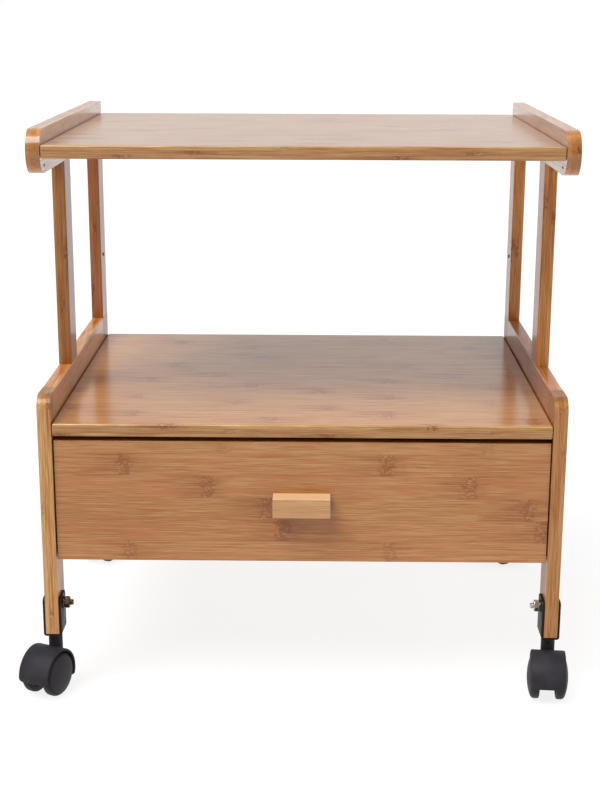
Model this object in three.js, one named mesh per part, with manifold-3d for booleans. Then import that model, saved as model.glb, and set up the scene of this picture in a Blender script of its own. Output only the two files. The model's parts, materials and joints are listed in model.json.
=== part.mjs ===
// A two-tier rolling cart in bamboo board: an open top shelf on four posts, a closed lower
// shelf with one drawer under it, and four twin-wheel swivel casters clamped to the legs.
// Millimetres, +Z up, the drawer faces -Y. The origin is on the floor, at the middle of the
// whole cart's footprint, casters included.
import * as THREE from "three";
import { mergeVertices } from "three/addons/utils/BufferGeometryUtils.js";
import Module from "manifold-3d";

const wasm = await Module();
wasm.setup();

// ---------------------------------------------------------------- driving dimensions
const WIDTH = 500; // outside both side frames
const DEPTH = 396; // front edge to rear edge of the boards
const BOARD = 13; // thickness of legs, side panels, posts and rails
const SHELF = 12.4; // thickness of both shelves and of the drawer front
const STRIP = 36; // legs and posts, front to rear
const GLUE_GAP = 0.3; // between two pieces that touch

// Heights above the floor.
const LEG_BOTTOM = 61.5;
const SHELF_TOP = 275.5; // upper face of the lower shelf
const SIDE_TOP = 302;
const TOP_SHELF_TOP = 536;
const RAIL_TOP = 549.5;
const RAIL_HEIGHT = 40.8;
const SIDE_CORNER = 13; // rounding of the front top corner of a leg
const FRONT_POST_SETBACK = 130;

// Drawer.
const FRONT_BOTTOM = 138.2;
const FRONT_HEIGHT = 120.2;
const FRONT_RECESS = 3; // drawer front behind the edge of the shelf
const FRONT_SIDE_GAP = 1.1;
const BOX_BOARD = 10; // drawer sides and back
const BOX_HEIGHT = 84;
const BOX_LENGTH = 352;
const BOX_FLOOR = 5;
const BOX_FLOOR_UP = 5; // underside of the floor above the edge of the sides
const RUNNER_WIDTH = 14;
const RUNNER_HEIGHT = 12;
const RUNNER_BOTTOM = 140;
const SLIDE_GAP = 0.6;
const BACK_PANEL = 9;
const BACK_INSET = 2;

// Pull: a short square bar with eased edges, screwed on from inside the drawer.
const PULL_WIDTH = 55.2;
const PULL_BOTTOM = 188.3;
const PULL_SECTION = 19;
const PULL_EDGE = 1;
const PULL_SCREW_SPACING = 32;
const SCREW_RADIUS = 1.8;
const SCREW_BITE = 11; // depth of the screw in the pull

// Caster: bracket, bolt and nut on the leg.
const CASTER_SETBACK = { front: 14.5, rear: 18 }; // swivel axis from the leg's outer end
const PLATE = 2.1;
const BRACKET_DEPTH = 27;
const BRACKET_TOP = 97.8;
const BRACKET_SLACK = 0.5; // between the end of the leg and the bottom of the bracket
const EAR_CORNER = 4;
const BOLT_HEIGHT = 89.3;
const BOLT_RADIUS = 3;
const HEAD_RADIUS = 6;
const HEAD_THICKNESS = 2.2;
const BOLT_END = 12.7; // from the leg's inner face to the end of the bolt
const NUT_FLATS = 10;
const NUT_THICKNESS = 5.2;
const WASHER_RADIUS = 6.2;
const WASHER_THICKNESS = 1.3;
const HOLE_CLEARANCE = 0.35;

// Caster: what swivels.
const TRAIL = 16.6; // swivel axis to axle
const WHEEL_RADIUS = 21.8;
const WHEEL_INNER = 8.1; // inner face of a wheel from the caster's middle
const WHEEL_OUTER = 15.7; // outer edge of the tread
const DOME = 4.3; // how far the outer face bulges past the tread
const WHEEL_ROUND = 1.2;
const HUB_RADIUS = 6;
const AXLE_RADIUS = 2.5;
const HOOD_RADIUS = 25.5;
const HOOD_WALL = 2.2;
const HOOD_HALF_WIDTH = 16.5;
const HOOD_REAR_ANGLE = -25; // where the hood ends at the rear, degrees from the horizontal
const HOOD_FRONT_ANGLE = 187; // and where it ends in front
const WEB_HALF = 5;
const COLLAR_RADIUS = 6.8;
const COLLAR_TOP = 56.1;
const NECK_RADIUS = 5.4;
const STEM_RADIUS = 3.5;
const STEM_BOTTOM = 32;
const SEGMENTS = 24; // around every turned solid

const INNER = WIDTH / 2 - BOARD; // inner face of a side frame
const POST_BOTTOM = SIDE_TOP + GLUE_GAP;
const RAIL_BOTTOM = RAIL_TOP - RAIL_HEIGHT;
const BRACKET_BOTTOM = LEG_BOTTOM - BRACKET_SLACK - PLATE;

// ---------------------------------------------------------------- materials
const paint = (color, roughness, metalness = 0) =>
  new THREE.MeshStandardMaterial({ color, roughness, metalness });
const bamboo = paint(0xc08a55, 0.35);
const bambooShelf = paint(0xc79665, 0.3);
const plywood = paint(0xcaa06f, 0.5);
const blackSteel = paint(0x1c1a1a, 0.45, 0.6);
const zinc = paint(0xb8a878, 0.3, 0.9);
const blackPlastic = paint(0x2b2a2d, 0.55);
const steel = paint(0x9a9a9a, 0.35, 0.9);

// ---------------------------------------------------------------- helpers
const cart = new THREE.Group();

function place(name, geometry, material, parent = cart) {
  const mesh = new THREE.Mesh(geometry, material);
  mesh.name = name;
  parent.add(mesh);
  return mesh;
}

// A rectangular board between two corners.
function board(x, y, z) {
  const geometry = new THREE.BoxGeometry(x[1] - x[0], y[1] - y[0], z[1] - z[0]);
  return geometry.translate((x[0] + x[1]) / 2, (y[0] + y[1]) / 2, (z[0] + z[1]) / 2);
}

// An outline drawn in the Y-Z plane, extruded along X from x0 to x1.
function plate(outline, x0, x1, curveSegments = 12) {
  const options = { depth: x1 - x0, bevelEnabled: false, curveSegments };
  const geometry = new THREE.ExtrudeGeometry(outline, options);
  const yz = new THREE.Matrix4().makeBasis(
    new THREE.Vector3(0, 1, 0),
    new THREE.Vector3(0, 0, 1),
    new THREE.Vector3(1, 0, 0),
  );
  return geometry.applyMatrix4(yz).translate(x0, 0, 0);
}

// A turned solid about the X axis: the profile holds (radius, x) from axis to axis.
function turnedX(profile) {
  const points = profile.map(([radius, x]) => new THREE.Vector2(radius, x));
  return new THREE.LatheGeometry(points, SEGMENTS).rotateZ(-Math.PI / 2);
}

// A turned solid about the Z axis: the profile holds (radius, z) from axis to axis.
function turnedZ(profile) {
  const points = profile.map(([radius, z]) => new THREE.Vector2(radius, z));
  return new THREE.LatheGeometry(points, SEGMENTS).rotateX(Math.PI / 2);
}

// An upright cylinder on the stem's axis.
function rodZ(radius, z0, z1) {
  return turnedZ([[0, z0], [radius, z0], [radius, z1], [0, z1]]);
}

function rodX(radius, x0, x1) {
  return turnedX([[0, x0], [radius, x0], [radius, x1], [0, x1]]);
}

function solid(geometry) {
  const bare = geometry.clone();
  bare.deleteAttribute("normal");
  bare.deleteAttribute("uv");
  const merged = mergeVertices(bare, 1e-4);
  return new wasm.Manifold(
    new wasm.Mesh({
      numProp: 3,
      vertProperties: merged.attributes.position.array,
      triVerts: new Uint32Array(merged.index.array),
    }),
  );
}

function geometryOf(body) {
  const mesh = body.getMesh();
  const positions = new THREE.BufferAttribute(mesh.vertProperties, 3);
  const geometry = new THREE.BufferGeometry().setAttribute("position", positions);
  geometry.setIndex(new THREE.BufferAttribute(mesh.triVerts, 1));
  geometry.computeVertexNormals();
  return geometry;
}

const joined = (first, ...rest) => rest.reduce((sum, g) => sum.add(solid(g)), solid(first));
const cut = (body, ...tools) => tools.reduce((rest, g) => rest.subtract(solid(g)), body);

// A row of arc points (y, z) about a centre, angles in degrees.
function arc(cy, cz, radius, from, to, steps) {
  return Array.from({ length: steps + 1 }, (_, i) => {
    const a = THREE.MathUtils.degToRad(from + ((to - from) * i) / steps);
    return new THREE.Vector2(cy + radius * Math.cos(a), cz + radius * Math.sin(a));
  });
}

// Both side frames are mirror images, so each piece is given by its inner and outer X.
const sides = [
  { side: "left", sign: -1 },
  { side: "right", sign: 1 },
];
const span = (sign, inner, outer) => (sign < 0 ? [-outer, -inner] : [inner, outer]);

// ---------------------------------------------------------------- top tier
function guardRail(sign) {
  const radius = RAIL_HEIGHT / 2;
  const outline = new THREE.Shape();
  outline.moveTo(DEPTH, RAIL_BOTTOM);
  outline.lineTo(DEPTH, RAIL_TOP);
  outline.lineTo(radius, RAIL_TOP);
  outline.absarc(radius, RAIL_BOTTOM + radius, radius, Math.PI / 2, (3 * Math.PI) / 2, false);
  outline.closePath();
  return plate(outline, ...span(sign, INNER, INNER + BOARD), 14);
}

function topTier() {
  const half = INNER - GLUE_GAP;
  const heights = [TOP_SHELF_TOP - SHELF, TOP_SHELF_TOP];
  place("top_shelf", board([-half, half], [0, DEPTH], heights), bambooShelf);
  for (const { side, sign } of sides) place(`guard_rail_${side}`, guardRail(sign), bamboo);
}

function posts() {
  const fronts = { front: FRONT_POST_SETBACK, rear: DEPTH - STRIP };
  for (const { side, sign } of sides)
    for (const [end, y] of Object.entries(fronts)) {
      const heights = [POST_BOTTOM, RAIL_BOTTOM - GLUE_GAP];
      const x = span(sign, INNER, INNER + BOARD);
      place(`post_${end}_${side}`, board(x, [y, y + STRIP], heights), bamboo);
    }
}

// ---------------------------------------------------------------- lower tier
function leg(sign, end) {
  const outline = new THREE.Shape();
  const [front, rear] = end === "front" ? [0, STRIP] : [DEPTH - STRIP, DEPTH];
  outline.moveTo(front, LEG_BOTTOM);
  outline.lineTo(rear, LEG_BOTTOM);
  outline.lineTo(rear, SIDE_TOP);
  if (end === "front") {
    outline.lineTo(front + SIDE_CORNER, SIDE_TOP);
    const centre = [front + SIDE_CORNER, SIDE_TOP - SIDE_CORNER];
    outline.absarc(...centre, SIDE_CORNER, Math.PI / 2, Math.PI, false);
  } else outline.lineTo(front, SIDE_TOP);
  outline.closePath();
  const bolt = rodX(BOLT_RADIUS + HOLE_CLEARANCE, -WIDTH, WIDTH);
  bolt.translate(0, casterY(end), BOLT_HEIGHT);
  const x = span(sign, INNER, INNER + BOARD);
  return geometryOf(cut(solid(plate(outline, ...x, 10)), bolt));
}

function lowerTier() {
  const half = INNER - GLUE_GAP;
  const heights = [SHELF_TOP - SHELF, SHELF_TOP];
  place("lower_shelf", board([-half, half], [0, DEPTH], heights), bambooShelf);
  const backDepth = [DEPTH - BACK_INSET - BACK_PANEL, DEPTH - BACK_INSET];
  const backHeights = [FRONT_BOTTOM, SHELF_TOP - SHELF - GLUE_GAP];
  place("back_panel", board([-half, half], backDepth, backHeights), bamboo);
  for (const { side, sign } of sides) {
    for (const end of ["front", "rear"])
      place(`leg_${end}_${side}`, leg(sign, end), bamboo);
    const depth = [STRIP + GLUE_GAP, DEPTH - STRIP - GLUE_GAP];
    const x = span(sign, INNER, INNER + BOARD);
    place(`side_panel_${side}`, board(x, depth, [FRONT_BOTTOM, SIDE_TOP]), bamboo);
    const runnerX = span(sign, INNER - RUNNER_WIDTH, INNER - GLUE_GAP);
    const runnerY = [FRONT_RECESS + SHELF + 1, backDepth[0] - GLUE_GAP];
    const runnerZ = [RUNNER_BOTTOM, RUNNER_BOTTOM + RUNNER_HEIGHT];
    place(`drawer_runner_${side}`, board(runnerX, runnerY, runnerZ), plywood);
  }
}

// ---------------------------------------------------------------- drawer
function pullGeometry() {
  const back = FRONT_RECESS - GLUE_GAP;
  const front = FRONT_RECESS - PULL_SECTION;
  const top = PULL_BOTTOM + PULL_SECTION;
  const outline = new THREE.Shape([
    new THREE.Vector2(back, PULL_BOTTOM),
    new THREE.Vector2(back, top),
    ...arc(front + PULL_EDGE, top - PULL_EDGE, PULL_EDGE, 90, 180, 3),
    ...arc(front + PULL_EDGE, PULL_BOTTOM + PULL_EDGE, PULL_EDGE, 180, 270, 3),
  ]);
  return plate(outline, -PULL_WIDTH / 2, PULL_WIDTH / 2);
}

// A pan-head wood screw along Y: head inside the drawer, tip towards the pull.
function pullScrew(x) {
  const seat = FRONT_RECESS + SHELF + GLUE_GAP;
  const tip = FRONT_RECESS - SCREW_BITE;
  const profile = [
    [0, tip],
    [SCREW_RADIUS, tip + 2],
    [SCREW_RADIUS, seat],
    [SCREW_RADIUS * 2, seat],
    [SCREW_RADIUS * 2, seat + 0.8],
    [SCREW_RADIUS * 1.3, seat + 2],
    [0, seat + 2],
  ];
  const points = profile.map(([radius, y]) => new THREE.Vector2(radius, y));
  return new THREE.LatheGeometry(points, 12).translate(x, 0, PULL_BOTTOM + PULL_SECTION / 2);
}

// A blind hole from behind the drawer front into the pull, a little longer than the screw.
function screwHole(x) {
  const radius = SCREW_RADIUS + HOLE_CLEARANCE;
  const depth = SHELF * 2 + SCREW_BITE;
  const hole = new THREE.CylinderGeometry(radius, radius, depth, 12);
  const middle = FRONT_RECESS - SCREW_BITE - 0.5 + depth / 2;
  return hole.translate(x, middle, PULL_BOTTOM + PULL_SECTION / 2);
}

function drawer() {
  const frontHalf = INNER - FRONT_SIDE_GAP;
  const frontBack = FRONT_RECESS + SHELF;
  const holes = [-0.5, 0.5].map((k) => screwHole(k * PULL_SCREW_SPACING));
  const heights = [FRONT_BOTTOM, FRONT_BOTTOM + FRONT_HEIGHT];
  const face = board([-frontHalf, frontHalf], [FRONT_RECESS, frontBack], heights);
  place("drawer_front", geometryOf(cut(solid(face), ...holes)), bambooShelf);
  place("drawer_pull", geometryOf(cut(solid(pullGeometry()), ...holes)), bamboo);
  for (const { side, sign } of sides)
    place(`pull_screw_${side}`, pullScrew((sign * PULL_SCREW_SPACING) / 2), steel);

  const boxBottom = RUNNER_BOTTOM + RUNNER_HEIGHT + SLIDE_GAP;
  const boxHeights = [boxBottom, boxBottom + BOX_HEIGHT];
  const boxY = [frontBack + GLUE_GAP, frontBack + GLUE_GAP + BOX_LENGTH];
  const outer = INNER - RUNNER_WIDTH + BOX_BOARD - 1;
  const inner = outer - BOX_BOARD;
  for (const { side, sign } of sides) {
    const x = span(sign, inner, outer);
    place(`drawer_side_${side}`, board(x, boxY, boxHeights), plywood);
  }
  const half = inner - GLUE_GAP;
  const backY = [boxY[1] - BOX_BOARD, boxY[1]];
  place("drawer_back", board([-half, half], backY, boxHeights), plywood);
  const floorZ = [boxBottom + BOX_FLOOR_UP, boxBottom + BOX_FLOOR_UP + BOX_FLOOR];
  const floorY = [boxY[0], backY[0] - GLUE_GAP];
  place("drawer_bottom", board([-half, half], floorY, floorZ), plywood);
}

// ---------------------------------------------------------------- casters
function casterY(end) {
  return end === "front" ? CASTER_SETBACK.front : DEPTH - CASTER_SETBACK.rear;
}

// A U-shaped clamp: two ears up the faces of the leg, joined under it, with a hole for the
// bolt through both ears and one for the stem through the middle.
function bracketGeometry() {
  const half = BOARD / 2 + GLUE_GAP;
  const ear = new THREE.Shape([
    new THREE.Vector2(-BRACKET_DEPTH / 2, BRACKET_BOTTOM),
    new THREE.Vector2(BRACKET_DEPTH / 2, BRACKET_BOTTOM),
    ...arc(BRACKET_DEPTH / 2 - EAR_CORNER, BRACKET_TOP - EAR_CORNER, EAR_CORNER, 0, 90, 4),
    ...arc(EAR_CORNER - BRACKET_DEPTH / 2, BRACKET_TOP - EAR_CORNER, EAR_CORNER, 90, 180, 4),
  ]);
  const block = solid(plate(ear, -half - PLATE, half + PLATE));
  const depth = [-BRACKET_DEPTH, BRACKET_DEPTH];
  const slot = board([-half, half], depth, [BRACKET_BOTTOM + PLATE, BRACKET_TOP + 1]);
  const bolt = rodX(BOLT_RADIUS + HOLE_CLEARANCE, -30, 30).translate(0, 0, BOLT_HEIGHT);
  const stem = rodZ(STEM_RADIUS + HOLE_CLEARANCE, BRACKET_BOTTOM - 1, LEG_BOTTOM);
  return geometryOf(cut(block, slot, bolt, stem));
}

// Stem: a pin riveted under the bracket, with a thicker neck above the hood's collar.
function stemGeometry() {
  return turnedZ(
    [
      [0, STEM_BOTTOM],
      [STEM_RADIUS - 0.6, STEM_BOTTOM],
      [STEM_RADIUS, STEM_BOTTOM + 0.6],
      [STEM_RADIUS, COLLAR_TOP + GLUE_GAP],
      [NECK_RADIUS, COLLAR_TOP + GLUE_GAP],
      [NECK_RADIUS, BRACKET_BOTTOM - GLUE_GAP],
      [STEM_RADIUS, BRACKET_BOTTOM - GLUE_GAP],
      [STEM_RADIUS, BRACKET_BOTTOM + PLATE - 0.1],
      [0, BRACKET_BOTTOM + PLATE - 0.1],
    ],
  );
}

// Bolt through the leg: low domed head outside (negative X), plain end inside.
function boltGeometry() {
  const face = -BOARD / 2 - GLUE_GAP - PLATE - GLUE_GAP;
  const end = BOARD / 2 + BOLT_END;
  return turnedX(
    [
      [0, face - HEAD_THICKNESS],
      [HEAD_RADIUS * 0.6, face - HEAD_THICKNESS * 0.85],
      [HEAD_RADIUS, face - HEAD_THICKNESS * 0.3],
      [HEAD_RADIUS, face],
      [BOLT_RADIUS, face],
      [BOLT_RADIUS, end - 0.7],
      [BOLT_RADIUS - 0.7, end],
      [0, end],
    ],
  ).translate(0, 0, BOLT_HEIGHT);
}

// Hexagon nut on its washer, on the inner side of the leg.
function nutGeometry() {
  const corner = NUT_FLATS / Math.sqrt(3);
  const face = BOARD / 2 + GLUE_GAP + PLATE + GLUE_GAP;
  const end = face + WASHER_THICKNESS + NUT_THICKNESS;
  const hexagon = new THREE.Shape(arc(0, BOLT_HEIGHT, corner, 30, 330, 5));
  const washer = rodX(WASHER_RADIUS, face, face + WASHER_THICKNESS);
  const body = joined(plate(hexagon, face, end), washer.translate(0, 0, BOLT_HEIGHT));
  const hole = rodX(BOLT_RADIUS + HOLE_CLEARANCE, -WIDTH, WIDTH);
  return geometryOf(cut(body, hole.translate(0, 0, BOLT_HEIGHT)));
}

// Hood: a half-round shell over both wheels, a web between them that holds the axle, and an
// upright socket with a collar for the stem.
function hoodGeometry() {
  const y = -TRAIL;
  const z = WHEEL_RADIUS;
  const shell = new THREE.Shape([
    ...arc(y, z, HOOD_RADIUS, HOOD_REAR_ANGLE, HOOD_FRONT_ANGLE, 20),
    ...arc(y, z, HOOD_RADIUS - HOOD_WALL, HOOD_FRONT_ANGLE, HOOD_REAR_ANGLE, 20),
  ]);
  const web = new THREE.Shape(arc(y, z, HOOD_RADIUS - 1, 0, 180, 18));
  const hub = rodX(HUB_RADIUS, -WEB_HALF - 1.5, WEB_HALF + 1.5).translate(0, y, z);
  const body = joined(
    plate(shell, -HOOD_HALF_WIDTH, HOOD_HALF_WIDTH),
    plate(web, -WEB_HALF, WEB_HALF),
    hub,
    rodZ(COLLAR_RADIUS, z + 3, COLLAR_TOP),
  );
  const stem = rodZ(STEM_RADIUS + HOLE_CLEARANCE, STEM_BOTTOM - GLUE_GAP, COLLAR_TOP + 1);
  const axle = rodX(AXLE_RADIUS + HOLE_CLEARANCE, -HOOD_RADIUS, HOOD_RADIUS);
  return geometryOf(cut(body, stem, axle.translate(0, y, z)));
}

// One wheel, outer face towards +X: tread, domed disc outside, blind bore from the inside.
function wheelGeometry() {
  const bore = AXLE_RADIUS + HOLE_CLEARANCE;
  const wheel = turnedX([
    [bore, WHEEL_INNER],
    [WHEEL_RADIUS - WHEEL_ROUND, WHEEL_INNER],
    [WHEEL_RADIUS, WHEEL_INNER + WHEEL_ROUND],
    [WHEEL_RADIUS, WHEEL_OUTER - WHEEL_ROUND],
    [WHEEL_RADIUS * 0.93, WHEEL_OUTER + DOME * 0.25],
    [WHEEL_RADIUS * 0.7, WHEEL_OUTER + DOME * 0.68],
    [WHEEL_RADIUS * 0.35, WHEEL_OUTER + DOME * 0.95],
    [0, WHEEL_OUTER + DOME],
    [0, WHEEL_OUTER - 1],
    [bore, WHEEL_OUTER - 1],
    [bore, WHEEL_INNER],
  ]);
  return wheel.translate(0, -TRAIL, WHEEL_RADIUS);
}

function mirroredX(geometry) {
  const mirrored = geometry.clone().scale(-1, 1, 1);
  const index = mirrored.index.array;
  for (let i = 0; i < index.length; i += 3)
    [index[i + 1], index[i + 2]] = [index[i + 2], index[i + 1]];
  return mirrored;
}

// Degrees each caster is turned about its stem, from trailing straight to the front.
const SWIVEL = { front_left: -24, front_right: -5, rear_left: -18, rear_right: 24 };

function caster(end, { side, sign }) {
  const corner = `${end}_${side}`;
  const clamp = new THREE.Group();
  clamp.position.set(sign * (INNER + BOARD / 2), casterY(end), 0);
  cart.add(clamp);
  place(`caster_bracket_${corner}`, bracketGeometry(), blackSteel, clamp);
  place(`caster_stem_${corner}`, stemGeometry(), steel, clamp);
  const inward = sign < 0 ? (g) => g : mirroredX;
  place(`caster_bolt_${corner}`, inward(boltGeometry()), zinc, clamp);
  place(`caster_nut_${corner}`, inward(nutGeometry()), zinc, clamp);

  const swivel = new THREE.Group();
  swivel.rotation.z = THREE.MathUtils.degToRad(SWIVEL[corner]);
  clamp.add(swivel);
  place(`caster_hood_${corner}`, hoodGeometry(), blackPlastic, swivel);
  const reach = WHEEL_OUTER - 1 - GLUE_GAP;
  const axle = rodX(AXLE_RADIUS, -reach, reach).translate(0, -TRAIL, WHEEL_RADIUS);
  place(`caster_axle_${corner}`, axle, steel, swivel);
  place(`wheel_${corner}_right`, wheelGeometry(), blackPlastic, swivel);
  place(`wheel_${corner}_left`, mirroredX(wheelGeometry()), blackPlastic, swivel);
}

// ---------------------------------------------------------------- the cart
topTier();
posts();
lowerTier();
drawer();
for (const end of ["front", "rear"]) for (const side of sides) caster(end, side);

// Everything above counts Y from the front edge of the boards; the origin moves to the
// middle of the footprint.
const footprint = new THREE.Box3().setFromObject(cart, true);
const middle = footprint.getCenter(new THREE.Vector3());
cart.position.set(-middle.x, -middle.y, -footprint.min.z);

export default cart;
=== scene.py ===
"""Looks of a bamboo rolling cart: lacquered three-ply boards, a drawer with a square pull, and
four black twin-wheel casters. Metres, +Z up, the drawer faces -Y."""

import json
import math

import bmesh
import bpy
from mathutils import Matrix, Vector


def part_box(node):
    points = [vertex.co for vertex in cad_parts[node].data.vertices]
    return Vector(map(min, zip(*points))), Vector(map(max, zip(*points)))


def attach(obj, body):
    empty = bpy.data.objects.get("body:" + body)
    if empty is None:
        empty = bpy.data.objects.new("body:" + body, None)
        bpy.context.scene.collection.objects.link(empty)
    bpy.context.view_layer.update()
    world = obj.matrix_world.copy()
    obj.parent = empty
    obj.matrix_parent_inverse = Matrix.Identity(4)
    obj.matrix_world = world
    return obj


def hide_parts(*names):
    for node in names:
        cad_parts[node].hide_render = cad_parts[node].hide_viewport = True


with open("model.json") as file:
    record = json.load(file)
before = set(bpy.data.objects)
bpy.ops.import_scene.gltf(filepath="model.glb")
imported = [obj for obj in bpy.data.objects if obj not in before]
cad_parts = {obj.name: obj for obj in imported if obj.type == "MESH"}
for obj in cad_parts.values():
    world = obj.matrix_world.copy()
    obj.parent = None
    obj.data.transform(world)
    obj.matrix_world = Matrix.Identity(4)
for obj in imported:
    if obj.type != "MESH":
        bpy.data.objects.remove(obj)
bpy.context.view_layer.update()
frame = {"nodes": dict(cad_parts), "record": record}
wheel_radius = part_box("wheel_front_left_left")[1].z / 2

# ---------------------------------------------------------------- driving values
MM = 0.001
GLUE_GAP = 0.3 * MM  # CAD gap between boards that are glued together
STRIP = 22 * MM  # width of one bamboo strip
PLIES = 3
KNUCKLE_SPACING = 250 * MM
KNUCKLE_LENGTH = 14 * MM
BOARD_EASE = 1.1 * MM  # rounding of the boards' edges
SHELF_EASE = 1.9 * MM
RAIL_EASE = 1.6 * MM
PULL_EASE = 1.5 * MM
BOX_EASE = 0.6 * MM
DRAWER_FRONT_EASE = 0.4 * MM
LEG_CORNER = 13 * MM
RAIL_PLUG_RADIUS = 1.2 * MM
RAIL_PLUG_PLACE = (22 * MM, 7 * MM)  # from the rail's front and from its underside
POST_PLUG_RADIUS = 2 * MM
POST_PLUG_HEIGHT = 72 * MM  # above the foot of the post

# How much lacquer gloss the boards have: the shelves, the drawer front and the rails have
# the full gloss of 1.
SATIN = 0.6
LEG_GLOSS = 0.4
SEALED = 0.2

# Caster, in its own frame: the stem on the Z axis, the axle along X and trailing towards -Y.
SWIVEL = {"front_left": -24, "front_right": -5, "rear_left": -18, "rear_right": 24}
TRAIL = 16.6 * MM
HOOD_RADIUS = 25.5 * MM
HOOD_WALL = 2.2 * MM
HOOD_HALF_WIDTH = 16.5 * MM
HOOD_ANGLES = (-25, 187)
HOOD_CORNER = 4 * MM  # rounding of the hood's four corners
HOOD_EASE = 0.9 * MM  # and of its rims
WEB_HALF = 5 * MM
HUB_RADIUS = 6 * MM
COLLAR_RADIUS = 6.8 * MM
WHEEL_INNER = 8.1 * MM
WHEEL_OUTER = 15.7 * MM
WHEEL_STEPS = 72  # around each wheel
DOME = 4.3 * MM  # how far the disc bulges past the tread
AXLE_RADIUS = 2.5 * MM
PIN_RADIUS = 3.5 * MM  # the stem inside the collar
PLATE = 2.1 * MM  # thickness of the bracket
BRACKET_BEND = 2.6 * MM
EAR_CORNER = 4 * MM
RUNNING_GAP = 0.4 * MM  # between a pin and the bore it turns in
BOLT_RADIUS = 3 * MM
BOLT_HEAD = 2.2 * MM  # thickness of its head
NUT_HALF_FLATS = 5 * MM
WASHER = 1.3 * MM
WASHER_RADIUS = 6.2 * MM
SCREW_HEAD = 2 * MM
SCREW_TIP = 2 * MM
THREAD_PITCH = 1 * MM

# Camera, placed from the middle of the lower shelf's front top edge. Angles in degrees.
CAMERA_OFFSET = Vector((0.0137, -1.3516, 0.3877))
CAMERA_YAW = 0.66
CAMERA_PITCH = -15.02
CAMERA_ROLL = 0.19
CAMERA_LENS = 67.2

# Light: a soft key from above, in front and a little left, a weak fill from the right, and
# a white surround that is dimmer overhead and behind the camera.
KEY_DIRECTION = Vector((-0.36, -0.43, 0.88))
KEY_STRENGTH = 3.6
KEY_ANGLE = 40
FILL_DIRECTION = Vector((0.9, -0.15, 0.45))
FILL_STRENGTH = 1.3
FILL_ANGLE = 70
SURROUND_BACK = 0.79
SURROUND_FRONT = 0.18
SURROUND_TOP = 0.4

# Bamboo tints, as display colours.
BAMBOO_PALE = (184, 142, 90)
BAMBOO_DEEP = (147, 93, 40)
BAMBOO_RUDDY = (176, 107, 66)
BAMBOO_BROWN = (126, 68, 22)
# The pull's paler colour: on its upward faces a painted highlight for the light from above,
# elsewhere its own paler tone.
BAMBOO_PALE_AND_TOP_HIGHLIGHT = (226, 190, 146)
END_GRAIN = 0.72  # how much light sawn ends give back against the faces
SHELF_FRONT = {"top_shelf": 0.8, "lower_shelf": 0.66}  # and the shelves' long edges

# How much red, green and blue each board reflects against the tints above. This is partly
# each board's own tone and partly painted light and shade: the left posts are painted darker
# as painted shade, and the right posts and the lower shelf are painted lighter as painted light.
BOARD_TONES_AND_PAINTED_LIGHT = {
    "top_shelf": (1.12, 1.2, 1.26),
    # painted light: the lower shelf is painted lighter
    "lower_shelf": (1.3, 1.38, 1.34),
    "drawer_front": (1.1, 1.08, 1.04),
    "drawer_pull": (0.95, 0.93, 0.9),
    # painted shade on the left posts, painted light on the right posts
    "post_front_left": (0.7, 0.6, 0.34),
    "post_rear_left": (0.75, 0.58, 0.44),
    "post_front_right": (1.3, 1.2, 0.85),
    "post_rear_right": (1.38, 1.28, 0.9),
    "leg_front_left": (1.14, 1.28, 1.42),
    "leg_front_right": (0.87, 0.82, 0.77),
    "guard_rail_left": (1.12, 1.04, 0.94),
    "guard_rail_right": (1.14, 1.06, 0.98),
    "side_panel_left": (1.35, 1.3, 1.05),
    "side_panel_right": (1.14, 0.96, 0.82),
}

CORNERS = ("front_left", "front_right", "rear_left", "rear_right")
AXES = {"X": 0, "Y": 1, "Z": 2}
SMOOTH_ANGLE = 40  # faces that meet at fewer degrees are shaded as one surface


# ---------------------------------------------------------------- node helpers
def linear(red, green, blue):
    """A display colour, 0 to 255, as the linear RGBA a shader takes."""
    def channel(value):
        value /= 255
        return value / 12.92 if value <= 0.04045 else ((value + 0.055) / 1.055) ** 2.4
    return (channel(red), channel(green), channel(blue), 1.0)


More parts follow.
